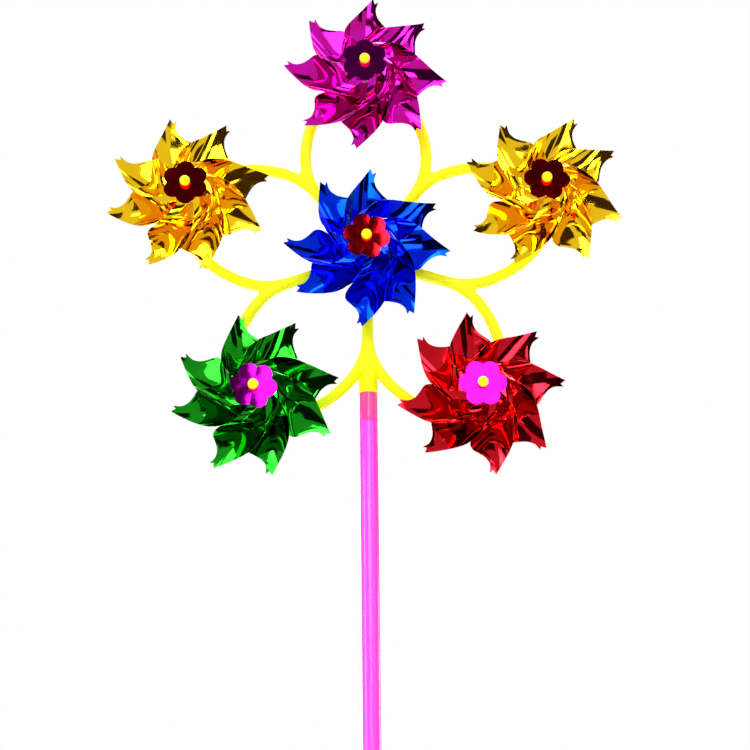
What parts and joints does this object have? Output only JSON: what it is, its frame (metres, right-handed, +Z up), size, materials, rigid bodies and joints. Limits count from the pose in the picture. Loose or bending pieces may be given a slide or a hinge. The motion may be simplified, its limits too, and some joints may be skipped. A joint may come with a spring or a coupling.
{
  "type": "pinwheel",
  "caption": "Hand-held pinwheel: curled foil wheels spin on ball-headed pins around a flower-shaped plastic frame on a tube handle.",
  "frame": {"origin": "centre of the handle tube's lower end", "axes": "+Z up along the tube towards the flower frame, -Y the way the wheels and pins face, +X to the right as seen from in front of the wheels"},
  "size_m": [0.2749, 0.0446, 0.5854],
  "materials": {
    "frame_plastic": "glossy moulded plastic, slightly fluorescent yellow",
    "tube_plastic": "translucent extruded plastic, hot pink",
    "hub_plastic": "natural white moulded plastic",
    "magenta_foil": "metallised film, mirror gloss, slightly crumpled",
    "gold_foil": "metallised film, mirror gloss, slightly crumpled",
    "green_foil": "metallised film, mirror gloss, slightly crumpled",
    "red_foil": "metallised film, mirror gloss, slightly crumpled",
    "blue_foil": "metallised film, mirror gloss, slightly crumpled",
    "magenta_flower": "metallised film, mirror gloss, embossed",
    "red_flower": "metallised film, mirror gloss, embossed"
  },
  "bodies": {
    "handle_frame": {"handle_tube": "tube_plastic", "flower_frame": "frame_plastic", "top_axle_pin": "frame_plastic", "upper_left_axle_pin": "frame_plastic", "upper_right_axle_pin": "frame_plastic", "lower_left_axle_pin": "frame_plastic", "lower_right_axle_pin": "frame_plastic", "centre_axle_pin": "frame_plastic"},
    "top_wheel": {"top_hub_tube": "hub_plastic", "top_rear_foil": "magenta_foil", "top_front_foil": "magenta_foil", "top_flower_washer": "magenta_flower"},
    "upper_left_wheel": {"upper_left_hub_tube": "hub_plastic", "upper_left_rear_foil": "gold_foil", "upper_left_front_foil": "gold_foil", "upper_left_flower_washer": "red_flower"},
    "upper_right_wheel": {"upper_right_hub_tube": "hub_plastic", "upper_right_rear_foil": "gold_foil", "upper_right_front_foil": "gold_foil", "upper_right_flower_washer": "red_flower"},
    "lower_left_wheel": {"lower_left_hub_tube": "hub_plastic", "lower_left_rear_foil": "green_foil", "lower_left_front_foil": "green_foil", "lower_left_flower_washer": "magenta_flower"},
    "lower_right_wheel": {"lower_right_hub_tube": "hub_plastic", "lower_right_rear_foil": "red_foil", "lower_right_front_foil": "red_foil", "lower_right_flower_washer": "magenta_flower"},
    "centre_wheel": {"centre_hub_tube": "hub_plastic", "centre_rear_foil": "blue_foil", "centre_front_foil": "blue_foil", "centre_flower_washer": "red_flower"}
  },
  "joints": [
    {"name": "top_spin", "type": "hinge", "parent": "handle_frame", "child": "top_wheel", "pos_m": [0, -0.003, 0.541], "axis": [0, -1, 0], "continuous": true},
    {"name": "upper_left_spin", "type": "hinge", "parent": "handle_frame", "child": "upper_left_wheel", "pos_m": [-0.09511, -0.003, 0.4719], "axis": [0, -1, 0], "continuous": true},
    {"name": "upper_right_spin", "type": "hinge", "parent": "handle_frame", "child": "upper_right_wheel", "pos_m": [0.09511, -0.003, 0.4719], "axis": [0, -1, 0], "continuous": true},
    {"name": "lower_left_spin", "type": "hinge", "parent": "handle_frame", "child": "lower_left_wheel", "pos_m": [-0.05878, -0.003, 0.3601], "axis": [0, -1, 0], "continuous": true},
    {"name": "lower_right_spin", "type": "hinge", "parent": "handle_frame", "child": "lower_right_wheel", "pos_m": [0.05878, -0.003, 0.3601], "axis": [0, -1, 0], "continuous": true},
    {"name": "centre_spin", "type": "hinge", "parent": "handle_frame", "child": "centre_wheel", "pos_m": [0, -0.003, 0.441], "axis": [0, -1, 0], "continuous": true}
  ]
}
